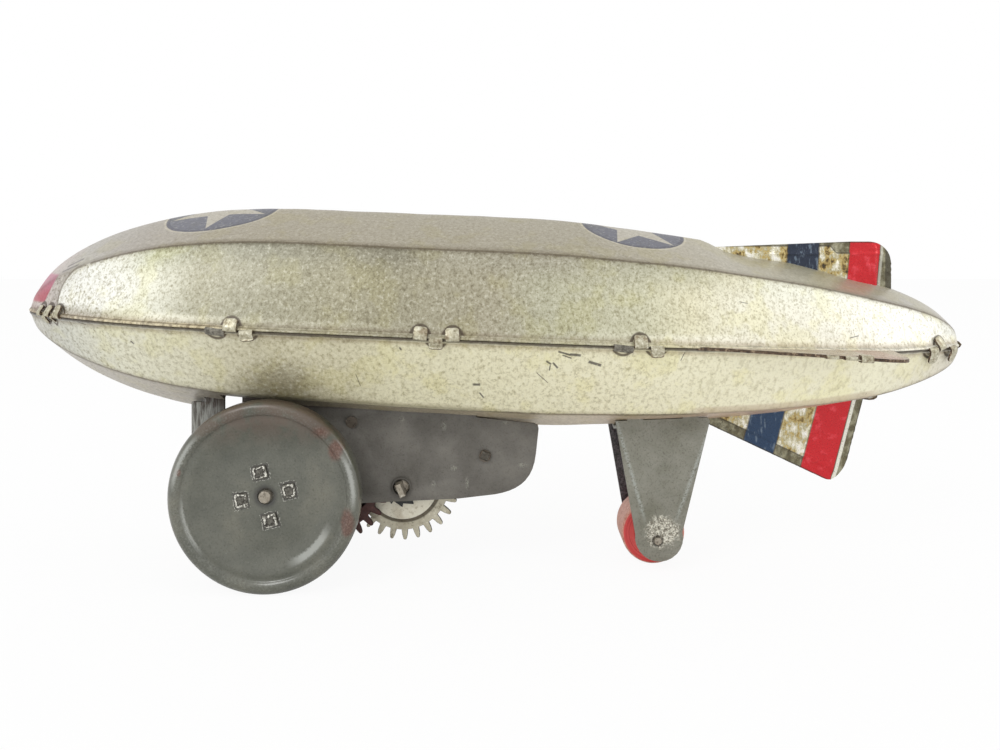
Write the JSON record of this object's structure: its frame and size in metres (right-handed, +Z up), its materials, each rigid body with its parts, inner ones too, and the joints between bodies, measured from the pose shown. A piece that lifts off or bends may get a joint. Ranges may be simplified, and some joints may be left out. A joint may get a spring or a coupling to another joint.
{
  "type": "clockwork toy airship",
  "caption": "Wheeled tin airship toy: faceted cigar hull with seam, four tail fins, spring motor between plates, two driven front wheels and a bracketed rear roller.",
  "frame": {"origin": "on the ground under the middle of the toy's bounding box", "axes": "+X toward the tail along the toy's length, +Y across toward the far side, +Z up"},
  "size_m": [0.2532, 0.066, 0.0949],
  "materials": {
    "litho_tin": "satin champagne tin litho, aged",
    "fin_tin": "glossy embossed gold tin with red and blue stripes",
    "painted_plate": "grey-brown paint, satin",
    "dark_steel": "dull dark steel",
    "spring_steel": "blued spring steel",
    "pinion_brass": "dull brass",
    "painted_wheel": "olive-grey paint with rust spots",
    "dark_wheel": "dark maroon",
    "gear_tin": "dull tinned steel",
    "disc_tin": "cream tinned steel",
    "bracket_tin": "grey-green tin, worn bright at the axle",
    "red_wood": "red-stained turned wood, paler tread"
  },
  "bodies": {
    "frame": {"hull_upper": "litho_tin", "hull_lower": "litho_tin", "fin_top": "fin_tin", "fin_bottom": "fin_tin", "fin_near": "fin_tin", "fin_far": "fin_tin", "plate_near": "painted_plate", "plate_far": "painted_plate", "pillar_rear": "dark_steel", "pillar_front": "dark_steel", "pillar_top": "dark_steel", "mainspring": "spring_steel", "rear_bracket": "bracket_tin", "roller_axle": "dark_steel"},
    "front_wheels": {"front_axle": "dark_steel", "axle_pinion": "pinion_brass", "wheel_near": "painted_wheel", "wheel_far": "painted_wheel", "hub_near": "painted_wheel", "hub_far": "painted_wheel"},
    "second_shaft": {"second_arbor": "dark_steel", "second_wheel": "dark_wheel", "second_pinion": "pinion_brass"},
    "great_gear": {"great_wheel": "gear_tin", "click_disc": "disc_tin", "click_rivet": "dark_steel", "click_spring": "spring_steel"},
    "winding_shaft": {"winding_arbor": "dark_steel", "ratchet_wheel": "dark_steel"},
    "click_pawl": {"click": "dark_steel"},
    "roller": {"rear_roller": "red_wood"}
  },
  "joints": [
    {"name": "front_wheel_spin", "type": "hinge", "parent": "frame", "child": "front_wheels", "pos_m": [-0.056, 0, 0.0235], "axis": [0, 1, 0], "continuous": true},
    {"name": "second_shaft_spin", "type": "hinge", "parent": "frame", "child": "second_shaft", "pos_m": [-0.0409, 0, 0.02159], "axis": [0, 1, 0], "continuous": true},
    {"name": "great_gear_spin", "type": "hinge", "parent": "frame", "child": "great_gear", "pos_m": [-0.02411, 0, 0.02221], "axis": [0, 1, 0], "continuous": true},
    {"name": "winding", "type": "hinge", "parent": "great_gear", "child": "winding_shaft", "pos_m": [-0.02411, 0, 0.02221], "axis": [0, 1, 0], "continuous": true},
    {"name": "click_lift", "type": "hinge", "parent": "great_gear", "child": "click_pawl", "pos_m": [-0.02476, 0, 0.02968], "axis": [0, 1, 0], "range_deg": [0, 6]},
    {"name": "roller_spin", "type": "hinge", "parent": "frame", "child": "roller", "pos_m": [0.0422, 0, 0.0084], "axis": [0, 1, 0], "continuous": true}
  ],
  "couplings": [
    {"joint": "second_shaft_spin", "follows": "front_wheel_spin", "ratio": -0.26087},
    {"joint": "great_gear_spin", "follows": "front_wheel_spin", "ratio": 0.060201}
  ]
}
